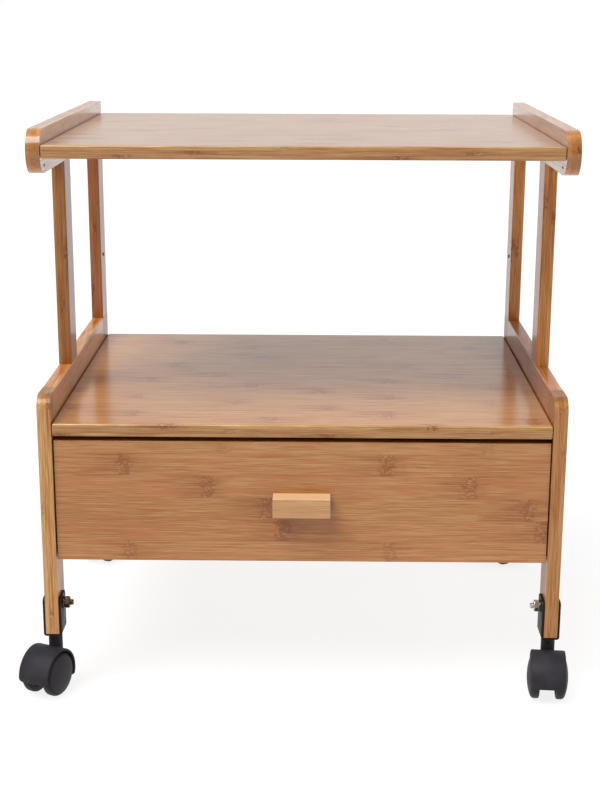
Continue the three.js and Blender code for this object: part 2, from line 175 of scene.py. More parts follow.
class Graph:
    """A material's node tree, with short calls for the nodes used here."""

    def __init__(self, name):
        self.material = bpy.data.materials.new(name)
        self.material.use_nodes = True
        self.tree = self.material.node_tree
        self.shader = self.tree.nodes["Principled BSDF"]

    def node(self, kind, inputs=(), **settings):
        made = self.tree.nodes.new(kind)
        for key, value in settings.items():
            setattr(made, key, value)
        for key, value in dict(inputs).items():
            self.feed(value, made.inputs[key])
        return made

    def feed(self, value, socket):
        if isinstance(value, bpy.types.NodeSocket):
            self.tree.links.new(value, socket)
        else:
            socket.default_value = value

    def math(self, operation, *values):
        made = self.node("ShaderNodeMath", operation=operation)
        for value, socket in zip(values, made.inputs):
            self.feed(value, socket)
        return made.outputs[0]

    def vector(self, x, y, z):
        made = self.node("ShaderNodeCombineXYZ", {"X": x, "Y": y, "Z": z})
        return made.outputs[0]

    def noise(self, vector, scale, detail=3.0, roughness=0.55, distortion=0.0):
        inputs = {
            "Vector": vector,
            "Scale": scale,
            "Detail": detail,
            "Roughness": roughness,
            "Distortion": distortion,
        }
        return self.node("ShaderNodeTexNoise", inputs).outputs["Fac"]

    def random(self, vector):
        made = self.node("ShaderNodeTexWhiteNoise", {"Vector": vector})
        return made.outputs["Value"]

    def remap(self, value, low, high, to_low=0.0, to_high=1.0):
        inputs = {
            "Value": value,
            "From Min": low,
            "From Max": high,
            "To Min": to_low,
            "To Max": to_high,
        }
        made = self.node("ShaderNodeMapRange", inputs, interpolation_type="SMOOTHSTEP")
        return made.outputs["Result"]

    def mix(self, factor, first, second, blend="MIX"):
        made = self.node("ShaderNodeMix", data_type="RGBA", blend_type=blend)
        self.feed(factor, made.inputs[0])
        self.feed(first, made.inputs[6])
        self.feed(second, made.inputs[7])
        return made.outputs[2]

    def bump(self, height, strength, distance, layer="Normal"):
        inputs = {"Height": height, "Strength": strength, "Distance": distance}
        self.feed(self.node("ShaderNodeBump", inputs).outputs[0], self.shader.inputs[layer])

    def set(self, **values):
        for key, value in values.items():
            self.feed(value, self.shader.inputs[key.replace("_", " ")])


# ---------------------------------------------------------------- materials
def shade(colour, tint):
    """A display colour as linear RGBA, each channel scaled by tint."""
    return tuple(channel * share for channel, share in zip(linear(*colour), tint)) + (1.0,)


def strips(g, node, grain, across, seed):
    """Splits a board into plies and strips. Gives the point in space, its coordinates along
    and across the grain and through the board, its places among the strips and the plies, and
    two random values per strip."""
    depth = next(axis for axis in "XYZ" if axis not in (grain, across))
    low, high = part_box(node)
    coordinates = g.node("ShaderNodeTexCoord").outputs["Object"]
    split = g.node("ShaderNodeSeparateXYZ", {"Vector": coordinates}).outputs
    along, side, through = split[grain], split[across], split[depth]
    bottom = low[AXES[depth]] - 1e-4
    thickness = (high - low)[AXES[depth]] + 2e-4
    level = g.math("DIVIDE", g.math("SUBTRACT", through, bottom), thickness / PLIES)
    ply = g.math("FLOOR", level)
    wander = g.math("MULTIPLY", g.noise(g.vector(along, ply, seed), 4.0, 1.0), 0.002)
    place = g.math("ADD", g.math("ADD", side, wander), g.math("MULTIPLY", ply, STRIP * 0.37))
    row = g.math("DIVIDE", g.math("ADD", place, 5.0 + seed * STRIP * 0.31), STRIP)
    # Not whole numbers, so that no two neighbours draw the same random values.
    strip = g.math("MULTIPLY", g.math("FLOOR", row), 0.731)
    own = g.random(g.vector(strip, ply, seed))
    other = g.random(g.vector(strip, g.math("ADD", ply, 7.3), seed + 3.1))
    return coordinates, (along, side, through), (row, level), own, other


def fibre_noise(g, axes, own, other, stretch, scale, detail):
    """Noise drawn out along the grain, different in every strip."""
    along, side, through = axes
    shifted = g.node("ShaderNodeVectorMath", operation="ADD")
    g.feed(g.vector(g.math("MULTIPLY", along, stretch), side, through), shifted.inputs[0])
    g.feed(g.vector(own, other, own), shifted.inputs[1])
    return g.noise(shifted.outputs[0], scale, detail, 0.6)


def knuckles(g, coordinates, along, own, other, crumbs, streaks):
    """Where the knuckles of the bamboo cross each strip, and the streaks that trail off
    from them: (dark crumbs, pale crumbs, streaks)."""
    turn = g.math("ADD", g.math("DIVIDE", along, KNUCKLE_SPACING), g.math("MULTIPLY", other, 9.0))
    ragged = g.math("MULTIPLY", g.math("SUBTRACT", g.noise(coordinates, 150.0, 4.0), 0.5), 0.1)
    phase = g.math("SUBTRACT", g.math("FRACT", g.math("ADD", turn, ragged)), 0.5)
    away = g.math("ABSOLUTE", phase)
    half = KNUCKLE_LENGTH / KNUCKLE_SPACING / 2
    inside = g.remap(away, half * 0.6, half * 1.3, 1.0, 0.0)
    marked = g.remap(own, 0.12, 0.4, 0.3, 1.0)
    spotted = g.remap(crumbs, 0.4, 0.58, 0.1, 1.0)
    dark = g.math("MULTIPLY", g.math("MULTIPLY", inside, marked), spotted)
    pale = g.math("MULTIPLY", inside, g.remap(crumbs, 0.46, 0.34, 0.0, 0.5))
    one_side = g.remap(phase, -0.22, 0.0, 0.0, 1.0)
    other_side = g.remap(phase, 0.0, 0.12, 1.0, 0.0)
    tail = g.math("MINIMUM", one_side, other_side)
    patchy = g.math("MULTIPLY_ADD", streaks, 0.7, 0.3)
    trail = g.math("MULTIPLY", g.math("MULTIPLY", tail, marked), patchy)
    return dark, pale, trail


def bamboo(node, grain, across, seed, coat=1.0, paleness_and_top_highlight=0.0, edge=1.0):
    """Pressed, lacquered bamboo of one board: strips along grain, side by side along across,
    in plies through the thickness, each with its own tint, fibres and knuckles.
    paleness_and_top_highlight is how much paler it is on the faces that look up, which is a
    painted highlight for the light from above, and a third of it elsewhere, which is its own
    paler tone. edge is how much light the sawn edges give back against the faces."""
    g = Graph("bamboo_" + node)
    coordinates, axes, (row, level), own, other = strips(g, node, grain, across, seed)
    fine = fibre_noise(g, axes, own, other, 0.013, 1600.0, 2.0)
    hair = fibre_noise(g, axes, other, own, 0.02, 2600.0, 1.0)
    broad = fibre_noise(g, axes, other, own, 0.05, 240.0, 3.0)
    crumbs = fibre_noise(g, axes, own, other, 0.6, 520.0, 4.0)
    hue = fibre_noise(g, axes, own, other, 0.03, 520.0, 2.0)
    cloud = g.noise(coordinates, 9.0, 2.0)
    streaks = g.remap(fine, 0.42, 0.6)
    dark, pale, trail = knuckles(g, coordinates, axes[0], own, other, crumbs, streaks)

    # The board's tint is partly its own tone and partly painted light and shade.
    tint = BOARD_TONES_AND_PAINTED_LIGHT.get(node, (1.0, 1.0, 1.0))
    light = shade(BAMBOO_PALE, tint)
    deep = shade(BAMBOO_DEEP, tint)
    ruddy = shade(BAMBOO_RUDDY, tint)
    brown = shade(BAMBOO_BROWN, tint)
    core = g.math("COMPARE", g.math("FLOOR", level), 1.0)
    depth = g.math("ADD", g.math("MULTIPLY_ADD", own, 0.3, 0.3), g.math("MULTIPLY", core, 0.3))
    for value, weight in ((fine, 4.0), (broad, 1.25), (hair, 2.0), (cloud, 0.9)):
        depth = g.math("ADD", depth, g.math("MULTIPLY", g.math("SUBTRACT", value, 0.5), weight))
    colour = g.mix(g.math("MAXIMUM", g.math("MINIMUM", depth, 1.0), 0.0), light, deep)
    warm = g.math("MULTIPLY", g.remap(hue, 0.4, 0.6), g.math("MULTIPLY_ADD", other, 0.4, 0.15))
    colour = g.mix(warm, colour, ruddy)
    colour = g.mix(g.math("MULTIPLY", trail, 0.8), colour, brown)
    colour = g.mix(g.math("MULTIPLY", dark, 0.92), colour, brown)
    colour = g.mix(pale, colour, light)
    for place, start, strength in ((row, 0.465, 0.35), (level, 0.42, 0.4)):
        seam = g.math("ABSOLUTE", g.math("SUBTRACT", g.math("FRACT", place), 0.5))
        colour = g.mix(g.remap(seam, start, 0.5, 0.0, strength), colour, brown)
    facing = g.node("ShaderNodeNewGeometry").outputs["Normal"]
    normal = g.node("ShaderNodeSeparateXYZ", {"Vector": facing}).outputs
    # Painted highlight: the faces that look up are painted paler for the light from above; a third
    # of the paler tone goes on all faces as the piece's own tone.
    if paleness_and_top_highlight:
        up = g.remap(normal["Z"], 0.5, 0.95, paleness_and_top_highlight / 3, paleness_and_top_highlight)
        colour = g.mix(up, colour, linear(*BAMBOO_PALE_AND_TOP_HIGHLIGHT))
    for axis, share in ((grain, END_GRAIN), (across, edge)):
        sawn = g.remap(g.math("ABSOLUTE", normal[axis]), 0.6, 0.95)
        colour = g.mix(sawn, colour, (share, share, share, 1.0), "MULTIPLY")
    g.set(Base_Color=colour, Specular_IOR_Level=0.12)
    g.set(Roughness=g.remap(fine, 0.3, 0.7, 0.34, 0.5))
    g.set(Coat_Weight=g.remap(streaks, 0.0, 1.0, coat, coat * 0.75), Coat_Roughness=0.16)
    relief = g.math("ADD", fine, g.math("MULTIPLY", broad, 0.6))
    g.bump(relief, 0.1, 0.0002)
    g.bump(relief, 0.09, 0.0002, "Coat Normal")
    return g.material


def matte_black(name, level, roughness):
    """Black nylon, or oiled black steel: faint mottling, a fine grain and light scuffs. level
    is how light the black is, as a display value."""
    g = Graph(name)
    coordinates = g.node("ShaderNodeTexCoord").outputs["Object"]
    cloud = g.noise(coordinates, 60.0, 3.0)
    grain = g.noise(coordinates, 2600.0, 2.0)
    scuffs = g.noise(coordinates, 420.0, 4.0, 0.7)
    light = linear(level + 8, level + 4, level + 11)
    dark = linear(level - 5, level - 8, level - 2)
    colour = g.mix(g.remap(cloud, 0.3, 0.7), dark, light)
    scuffed = linear(level + 22, level + 20, level + 22)
    colour = g.mix(g.remap(scuffs, 0.62, 0.75, 0.0, 0.5), colour, scuffed)
    g.set(Base_Color=colour, Specular_IOR_Level=0.24)
    g.set(Roughness=g.remap(cloud, 0.3, 0.7, roughness - 0.06, roughness + 0.06))
    g.bump(grain, 0.25, 0.0001)
    return g.material


def powder_coat(name):
    """Black-brown powder coat on steel: low orange peel, a little dust."""
    g = Graph(name)
    coordinates = g.node("ShaderNodeTexCoord").outputs["Object"]
    peel = g.noise(coordinates, 700.0, 2.0)
    dust = g.noise(coordinates, 90.0, 4.0)
    g.set(Base_Color=g.mix(g.remap(dust, 0.4, 0.75), linear(15, 9, 8), linear(30, 22, 19)))
    g.set(Specular_IOR_Level=0.22, Roughness=g.remap(dust, 0.35, 0.7, 0.42, 0.58))
    g.bump(peel, 0.3, 0.00015)
    return g.material


def zinc(name, warm, cool, roughness):
    """Zinc plate with the drifting tint of its passivation and fine turning marks."""
    g = Graph(name)
    coordinates = g.node("ShaderNodeTexCoord").outputs["Object"]
    drift = g.noise(coordinates, 220.0, 2.0, 0.5, 1.2)
    marks = g.noise(coordinates, 3000.0, 2.0)
    g.set(Base_Color=g.mix(g.remap(drift, 0.35, 0.65), warm, cool), Metallic=1.0)
    g.set(Roughness=g.remap(marks, 0.3, 0.7, roughness - 0.06, roughness + 0.1))
    g.bump(marks, 0.15, 0.00005)
    return g.material


def dark_plug(name):
    """Dark stained wood of the little plugs over the assembly holes."""
    g = Graph(name)
    coordinates = g.node("ShaderNodeTexCoord").outputs["Object"]
    grain = g.noise(coordinates, 1800.0, 3.0)
    g.set(Base_Color=g.mix(g.remap(grain, 0.35, 0.65), linear(58, 32, 18), linear(92, 54, 30)))
    g.set(Roughness=g.remap(grain, 0.3, 0.7, 0.35, 0.55))
    g.bump(grain, 0.2, 0.0001)
    return g.material


def backdrop_white():
    """The studio floor: matte white, with a little light of its own that keeps the shadows
    pale."""
    g = Graph("backdrop_white")
    coordinates = g.node("ShaderNodeTexCoord").outputs["Object"]
    cloud = g.noise(coordinates, 3.0, 2.0)
    g.set(Base_Color=g.mix(cloud, (0.15, 0.15, 0.15, 1.0), (0.17, 0.17, 0.17, 1.0)))
    g.set(Roughness=0.9, Specular_IOR_Level=0.1)
    g.set(Emission_Color=(1.0, 1.0, 1.0, 1.0), Emission_Strength=0.84)
    return g.material


# ---------------------------------------------------------------- mesh helpers
def add_object(name, mesh, material, body):
    """Adds a mesh as a piece that moves with body."""
    mesh.materials.clear()
    mesh.materials.append(material)
    mesh.shade_smooth()
    mesh.set_sharp_from_angle(angle=math.radians(SMOOTH_ANGLE))
    made = bpy.data.objects.new(name, mesh)
    bpy.context.scene.collection.objects.link(made)
    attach(made, body)
    return made


def weight_normals(piece):
    """Keeps wide flat faces flat next to their rounded edges."""
    modifier = piece.modifiers.new("flat_faces", "WEIGHTED_NORMAL")
    modifier.keep_sharp = True


def mesh_from(bm, name):
    bmesh.ops.recalc_face_normals(bm, faces=bm.faces)
    mesh = bpy.data.meshes.new(name)
    bm.to_mesh(mesh)
    bm.free()
    return mesh


def prism(outline, axis, start, end):
    """A closed outline of (u, v) points extruded along axis, u and v being the other axes in
    X, Y, Z order."""
    bm = bmesh.new()
    u, v = [i for i in range(3) if i != AXES[axis]]
    rings = []
    for level in (start, end):
        ring = []
        for point in outline:
            place = [0.0, 0.0, 0.0]
            place[u], place[v], place[AXES[axis]] = point[0], point[1], level
            ring.append(bm.verts.new(place))
        rings.append(ring)
    bm.faces.new(rings[0])
    bm.faces.new(rings[1])
    count = len(outline)
    for i in range(count):
        j = (i + 1) % count
        bm.faces.new((rings[0][i], rings[0][j], rings[1][j], rings[1][i]))
    return bm


def arc(centre, radius, start, end, steps):
    """Points (u, v) of an arc about centre, angles in degrees."""
    turns = [math.radians(start + (end - start) * i / steps) for i in range(steps + 1)]
    return [(centre[0] + radius * math.cos(t), centre[1] + radius * math.sin(t)) for t in turns]


def flush_test(bm, flush):
    """A test that says whether an edge lies in one of the planes where the board meets a
    neighbour. flush holds words such as "+Y"."""
    planes = []
    for word in flush:
        axis, sign = AXES[word[1]], 1 if word[0] == "+" else -1
        planes.append((axis, sign, max(sign * vert.co[axis] for vert in bm.verts)))

    def lies_in_plane(edge):
        return any(all(abs(sign * vert.co[axis] - level) < 1e-6 for vert in edge.verts)
                   for axis, sign, level in planes)
    return lies_in_plane


def ease_edges(bm, width, flush=(), segments=3):
    """Rounds the sharp edges, except those flush with a neighbour."""
    skip = flush_test(bm, flush)
    sharp = [edge for edge in bm.edges
             if len(edge.link_faces) == 2
             and edge.calc_face_angle(0.0) > math.radians(50)
             and not skip(edge)]
    bmesh.ops.bevel(bm, geom=sharp, offset=width, segments=segments, profile=0.5,
                    affect="EDGES", clamp_overlap=True)


def stretch_flush(bm, flush):
    """Moves each flush face out by the glue gap, so that glued boards meet."""
    for word in flush:
        axis, sign = AXES[word[1]], 1 if word[0] == "+" else -1
        level = max(sign * vert.co[axis] for vert in bm.verts)
        for vert in bm.verts:
            if abs(sign * vert.co[axis] - level) < 1e-6:
                vert.co[axis] += sign * GLUE_GAP


def cad_solid(node):
    """The CAD node's own faces, with the triangles of each flat face joined."""
    bm = bmesh.new()
    bm.from_mesh(frame["nodes"][node].data)
    bmesh.ops.remove_doubles(bm, verts=bm.verts, dist=1e-6)
    bmesh.ops.dissolve_limit(bm, angle_limit=math.radians(0.5), verts=bm.verts, edges=bm.edges)
    return bm


def node_body(node):
    """The body that the CAD node belongs to."""
    bodies = frame["record"]["behaviour"]["bodies"]
    return next(body for body, members in bodies.items() if node in members)


def node_slot(node):
    """The material slot that the record gives the node."""
    return next(s["material_slot"] for s in frame["record"]["subparts"] if s["node"] == node)


def finish_board(bm, node, material, flush, width=BOARD_EASE):
    """Closes the glue gaps, rounds the edges and puts the board in place of its node."""
    stretch_flush(bm, flush)
    ease_edges(bm, width, flush)
    piece = add_object("board_" + node, mesh_from(bm, node), material, node_body(node))
    weight_normals(piece)
    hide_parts(node)
    return piece


# ---------------------------------------------------------------- boards
def rail_outline(node):
    """Side view of a guard rail: a half-round front end and a square rear end."""
    low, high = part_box(node)
    radius = (high.z - low.z) / 2
    round_end = arc((low.y + radius, low.z + radius), radius, 90, 270, 40)
    return [(high.y, low.z), (high.y, high.z)] + round_end


def front_leg_outline(node):
    """Side view of a front leg: its upper front corner is rounded."""
    low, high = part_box(node)
    corner = arc((low.y + LEG_CORNER, high.z - LEG_CORNER), LEG_CORNER, 90, 180, 20)
    return [(low.y, low.z), (high.y, low.z), (high.y, high.z)] + corner


def boards():
    """The frame's boards, the shelves, the back, and the drawer's front with its pull."""
    for side, seed in (("left", 1.0), ("right", 2.0)):
        for end, more in (("front", 0.2), ("rear", 0.5)):
            node = f"post_{end}_{side}"
            material = bamboo(node, "Z", "Y", seed + more, SATIN)
            finish_board(cad_solid(node), node, material, ("-Z", "+Z"))
        node = f"guard_rail_{side}"
        low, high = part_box(node)
        bm = prism(rail_outline(node), "X", low.x, high.x)
        finish_board(bm, node, bamboo(node, "Y", "Z", seed + 0.7), (), RAIL_EASE)
        node = f"side_panel_{side}"
        material = bamboo(node, "Y", "Z", seed + 0.8, SATIN)
        finish_board(cad_solid(node), node, material, ("-Y", "+Y"))
        node = f"leg_front_{side}"
        low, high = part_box(node)
        bm = prism(front_leg_outline(node), "X", low.x, high.x)
        finish_board(bm, node, bamboo(node, "Z", "Y", seed + 0.3, LEG_GLOSS), ("+Y",))
        node = f"leg_rear_{side}"
        material = bamboo(node, "Z", "Y", seed + 0.4, LEG_GLOSS)
        finish_board(cad_solid(node), node, material, ("-Y",))
    for node, seed in (("top_shelf", 5.0), ("lower_shelf", 6.0)):
        material = bamboo(node, "X", "Y", seed, edge=SHELF_FRONT[node])
        finish_board(cad_solid(node), node, material, (), SHELF_EASE)
    back = bamboo("back_panel", "X", "Z", 7.0, SATIN)
    finish_board(cad_solid("back_panel"), "back_panel", back, ())
    front = bamboo("drawer_front", "X", "Z", 8.0)
    finish_board(cad_solid("drawer_front"), "drawer_front", front, (), DRAWER_FRONT_EASE)
    # The pull's upward faces get a painted highlight, and its other faces a paler tone of their own.
    pull = bamboo("drawer_pull", "X", "Y", 9.3, SATIN, paleness_and_top_highlight=0.75)
    finish_board(cad_solid("drawer_pull"), "drawer_pull", pull, ("+Y",), PULL_EASE)


def drawer_box():
    """The plain boards of the drawer behind its front, and the strips that it runs on."""
    for node, grain, across in (
        ("drawer_side_left", "Y", "Z"),
        ("drawer_side_right", "Y", "Z"),
        ("drawer_back", "X", "Z"),
        ("drawer_bottom", "X", "Y"),
        ("drawer_runner_left", "Y", "Z"),
        ("drawer_runner_right", "Y", "Z"),
    ):
        material = bamboo(node, grain, across, len(node), SEALED)
        finish_board(cad_solid(node), node, material, (), BOX_EASE)


# ---------------------------------------------------------------- casters
def turned(profile, axis, steps=48, limit=None):
    """A solid of revolution about axis. profile holds (radius, level) points, from the axis
    back to the axis or once round a ring. limit gives the greatest radius at each angle,
    which makes a hexagon."""
    bm = bmesh.new()
    u, v = [i for i in range(3) if i != AXES[axis]]
    rings = []
    for radius, level in profile:
        ring = []
        for k in range(1 if radius == 0 else steps):
            turn = 2 * math.pi * k / steps
            reach = min(radius, limit(turn)) if limit else radius
            place = [0.0, 0.0, 0.0]
            place[AXES[axis]] = level
            place[u] = reach * math.cos(turn)
            place[v] = reach * math.sin(turn)
            ring.append(bm.verts.new(place))
        rings.append(ring)
    closed = profile[0] == profile[-1]
    if closed:
        bmesh.ops.delete(bm, geom=rings.pop(), context="VERTS")
        rings.append(rings[0])
    for first, second in zip(rings, rings[1:]):
        for k in range(steps):
            n = (k + 1) % steps
            corners = [first[k % len(first)], first[n % len(first)],
                       second[n % len(second)], second[k % len(second)]]
            bm.faces.new(list(dict.fromkeys(corners)))
    return bm


def rounded(profile, width, steps=3):
    """The profile with every corner off the axis turned into a small arc."""
    smooth = [profile[0]]
    for before, here, after in zip(profile, profile[1:], profile[2:]):
        corner = Vector(here)
        back, ahead = Vector(before) - corner, Vector(after) - corner
        reach = min(width, back.length * 0.45, ahead.length * 0.45)
        start = corner + back.normalized() * reach
        end = corner + ahead.normalized() * reach
        for i in range(steps + 1):
            t = i / steps
            point = start * (1 - t) ** 2 + corner * 2 * t * (1 - t) + end * t ** 2
            smooth.append((point.x, point.y))
    return smooth + [profile[-1]]


def join(*parts):
    """Several closed shells as one mesh."""
    whole = bmesh.new()
    for part in parts:
        mesh = bpy.data.meshes.new("part")
        part.to_mesh(mesh)
        part.free()
        whole.from_mesh(mesh)
        bpy.data.meshes.remove(mesh)
    return whole


def drill(radius, start, end, axis):
    """A round bar along axis, to be cut out of a piece."""
    return turned([(0, start), (radius, start), (radius, end), (0, end)], axis, 32)


def scratch_object(bm, name):
    made = bpy.data.objects.new(name, mesh_from(bm, name))
    bpy.context.scene.collection.objects.link(made)
    return made


def bored(blank, *drills):
    """The blank with the drills cut out of it. Its overlapping shells become one."""
    made = scratch_object(blank, "blank")
    cutters = [scratch_object(bm, "drill") for bm in drills]
    for cutter in cutters:
        modifier = made.modifiers.new("bore", "BOOLEAN")
        modifier.operation = "DIFFERENCE"
        modifier.solver = "EXACT"
        modifier.use_self = True
        modifier.object = cutter
    evaluated = made.evaluated_get(bpy.context.evaluated_depsgraph_get())
    result = bmesh.new()
    result.from_mesh(evaluated.to_mesh())
    evaluated.to_mesh_clear()
    bmesh.ops.remove_doubles(result, verts=result.verts, dist=0.002 * MM)
    for used in [made] + cutters:
        mesh = used.data
        bpy.data.objects.remove(used)
        bpy.data.meshes.remove(mesh)
    return result


def hood_shell():
    """The half-round cover over both wheels, its corners and rims rounded."""
    bm = bmesh.new()
    outer, inner = HOOD_RADIUS, HOOD_RADIUS - HOOD_WALL
    start, end = (math.radians(angle) for angle in HOOD_ANGLES)
    length = (end - start) * outer
    ease = HOOD_EASE
    stops = [HOOD_CORNER * (1 - math.cos(math.radians(15 * i))) for i in range(1, 7)]
    middle = [HOOD_CORNER + (length - 2 * HOOD_CORNER) * i / 40 for i in range(1, 40)]
    places = [0.02 * MM] + stops + middle + [length - stop for stop in reversed(stops)]
    places.append(length - 0.02 * MM)
    rings = []
    for place in places:
        short = max(0.0, HOOD_CORNER - min(place, length - place))
        half = HOOD_HALF_WIDTH - HOOD_CORNER + math.sqrt(max(HOOD_CORNER ** 2 - short ** 2, 0.0))
        section = [
            (-half + ease, inner), (-half + 0.25 * ease, inner + 0.25 * ease),
            (-half, inner + ease), (-half, outer - ease),
            (-half + 0.3 * ease, outer - 0.3 * ease), (-half + ease, outer),
            (half - ease, outer), (half - 0.3 * ease, outer - 0.3 * ease),
            (half, outer - ease), (half, inner + ease),
            (half - 0.25 * ease, inner + 0.25 * ease), (half - ease, inner),
        ]
        turn = start + place / outer
        rings.append([
            bm.verts.new((x, -TRAIL + r * math.cos(turn), wheel_radius + r * math.sin(turn)))
            for x, r in section
        ])
    for first, second in zip(rings, rings[1:]):
        for k in range(len(first)):
            n = (k + 1) % len(first)
            bm.faces.new((first[k], first[n], second[n], second[k]))
    bm.faces.new(rings[0])
    bm.faces.new(rings[-1])
    return bm


def caster_hood():
    """Hood with the web and hub between the wheels and the collar round the stem."""
    centre = (-TRAIL, wheel_radius)
    web = prism(arc(centre, HOOD_RADIUS - 1.5 * MM, 0, 180, 40), "X", -WEB_HALF, WEB_HALF)
    bmesh.ops.recalc_face_normals(web, faces=web.faces)
    ease_edges(web, 0.6 * MM)
    reach = WEB_HALF + 1.5 * MM
    hub = turned(rounded([(0, -reach), (HUB_RADIUS, -reach), (HUB_RADIUS, reach), (0, reach)],
                         0.8 * MM), "X")
    bmesh.ops.translate(hub, verts=hub.verts, vec=(0.0, -TRAIL, wheel_radius))
    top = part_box("caster_hood_front_left")[1].z
    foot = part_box("caster_stem_front_left")[0].z
    groove = COLLAR_RADIUS - 0.5 * MM
    socket = turned(rounded([
        (0, wheel_radius + 4 * MM), (COLLAR_RADIUS, wheel_radius + 4 * MM),
        (COLLAR_RADIUS, top - 3.4 * MM), (groove, top - 3.1 * MM),
        (groove, top - 2.5 * MM), (COLLAR_RADIUS, top - 2.2 * MM),
        (COLLAR_RADIUS, top), (0, top),
    ], 0.6 * MM), "Z")
    stem_drill = drill(PIN_RADIUS + RUNNING_GAP, foot - 0.3 * MM, top + 1 * MM, "Z")
    axle_drill = drill(AXLE_RADIUS + RUNNING_GAP, -2 * reach, 2 * reach, "X")
    bmesh.ops.translate(axle_drill, verts=axle_drill.verts, vec=(0.0, -TRAIL, wheel_radius))
    return bored(join(hood_shell(), web, hub, socket), stem_drill, axle_drill)


def caster_wheel():
    """One wheel, outer face towards +X: rounded tread, grooved rim, domed disc, and a
    recessed inner face with a hub."""
    r = wheel_radius
    bore = AXLE_RADIUS + RUNNING_GAP
    profile = [
        (0, WHEEL_OUTER - 1 * MM), (bore, WHEEL_OUTER - 1 * MM),
        (bore, WHEEL_INNER), (5 * MM, WHEEL_INNER),
        (5.4 * MM, WHEEL_INNER + 2.2 * MM), (r * 0.72, WHEEL_INNER + 2.2 * MM),
        (r * 0.76, WHEEL_INNER), (r - 1.6 * MM, WHEEL_INNER), (r - 0.3 * MM, WHEEL_INNER + 0.6 * MM),
        (r, WHEEL_INNER + 1.9 * MM), (r, WHEEL_OUTER - 2.4 * MM),
        (r - 0.35 * MM, WHEEL_OUTER - 1.1 * MM), (r - 1.1 * MM, WHEEL_OUTER - 0.1 * MM),
        (r * 0.925, WHEEL_OUTER + 0.5 * MM), (r * 0.91, WHEEL_OUTER + 0.25 * MM),
        (r * 0.895, WHEEL_OUTER + 0.3 * MM), (r * 0.88, WHEEL_OUTER + DOME * 0.24),
    ]
    for share in (0.8, 0.7, 0.6, 0.5, 0.4, 0.3, 0.2, 0.1):
        profile.append((r * share, WHEEL_OUTER + DOME * (1 - share ** 2.2)))
    profile.append((0, WHEEL_OUTER + DOME))
    bm = turned(profile, "X", WHEEL_STEPS)
    bmesh.ops.translate(bm, verts=bm.verts, vec=(0.0, -TRAIL, wheel_radius))
    return bm


def bracket_path(half, low, top):
    """The U of the bracket's outer face in X-Z, from one ear to the other, as (x, z) with
    the outward direction at each point."""
    down, across = [(-half, top - 0.02 * MM, -1, 0)], []
    for i in range(1, 7):
        z = top - EAR_CORNER * (1 - math.cos(math.radians(15 * i)))
        down.append((-half, z, -1, 0))
    for i in range(7):
        t = math.radians(180 + 15 * i)
        across.append((-half + BRACKET_BEND * (1 + math.cos(t)),
                       low + BRACKET_BEND * (1 + math.sin(t)), math.cos(t), math.sin(t)))
    left = down + across
    return left + [(-x, z, -out_x, out_z) for x, z, out_x, out_z in reversed(left)]


def caster_bracket(node):
    """The strap bent up both faces of the leg, its upper corners rounded."""
    low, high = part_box(node)
    half = (high.x - low.x) / 2
    depth = (high.y - low.y) / 2
    bm = bmesh.new()
    rings = []
    for x, z, out_x, out_z in bracket_path(half, low.z, high.z):
        short = max(0.0, EAR_CORNER - (high.z - z))
        reach = depth - EAR_CORNER + math.sqrt(max(EAR_CORNER ** 2 - short ** 2, 0.0))
        inner = (x - out_x * PLATE, z - out_z * PLATE)
        corners = (
            (x, -reach, z),
            (x, reach, z),
            (inner[0], reach, inner[1]),
            (inner[0], -reach, inner[1]),
        )
        rings.append([bm.verts.new(corner) for corner in corners])
    for first, second in zip(rings, rings[1:]):
        for k in range(4):
            n = (k + 1) % 4
            bm.faces.new((first[k], first[n], second[n], second[k]))
    bm.faces.new(rings[0])
    bm.faces.new(rings[-1])
    bmesh.ops.recalc_face_normals(bm, faces=bm.faces)
    ease_edges(bm, 0.35 * MM, segments=2)
    return bm


def threaded_rod(radius, start, end):
    """A rod along X with a helical thread, its ends flat."""
    bm = bmesh.new()
    steps = 24
    rows = 4  # rings of points to each turn of the thread
    cut = 0.55 * MM  # depth of the thread
    count = int((end - start) / THREAD_PITCH * rows) + rows + 2
    grooves = (0.0, 0.0, cut, cut * 0.9)
    rings = []
    for j in range(count):
        ring = []
        for k in range(steps):
            turn = 2 * math.pi * k / steps
            level = start + THREAD_PITCH * (j / rows + k / steps - 1)
            taper = max(0.0, 1 - (end - level) / (0.7 * MM)) * 0.5 * MM
            reach = radius - max(grooves[j % rows], taper)
            place = (min(max(level, start), end), reach * math.cos(turn), reach * math.sin(turn))
            ring.append(bm.verts.new(place))
        rings.append(ring)
    for first, second in zip(rings, rings[1:]):
        for k in range(steps - 1):
            bm.faces.new((first[k], first[k + 1], second[k + 1], second[k]))
    for j in range(count - rows - 1):
        later = j + rows
        bm.faces.new((rings[later][0], rings[j][-1], rings[j + 1][-1], rings[later + 1][0]))
    return cap_ends(bm)


def cap_ends(bm):
    """Closes the open ends of a thread."""
    edges = [edge for edge in bm.edges if edge.is_boundary]
    bmesh.ops.holes_fill(bm, edges=edges, sides=0)
    return bm


def cross_head(radius, thickness, slot_length, slot_width):
    """A domed screw head about X, facing -X, with a cross recess."""
    profile = [(0, 0.0), (radius, 0.0), (radius, -thickness * 0.3)]
    for i in range(1, 15):
        share = 1 - i / 15
        profile.append((radius * share, -thickness * (0.3 + 0.7 * (1 - share ** 2.4))))
    profile.append((0, -thickness))
    bm = turned(profile, "X", 64)
    for vert in bm.verts:
        reach = math.hypot(vert.co.y, vert.co.z)
        narrow = min(abs(vert.co.y), abs(vert.co.z))
        if vert.co.x < -thickness * 0.5 and reach < slot_length and narrow < slot_width:
            vert.co.x += thickness * 0.75 * (1 - reach / slot_length * 0.4)
    return bm


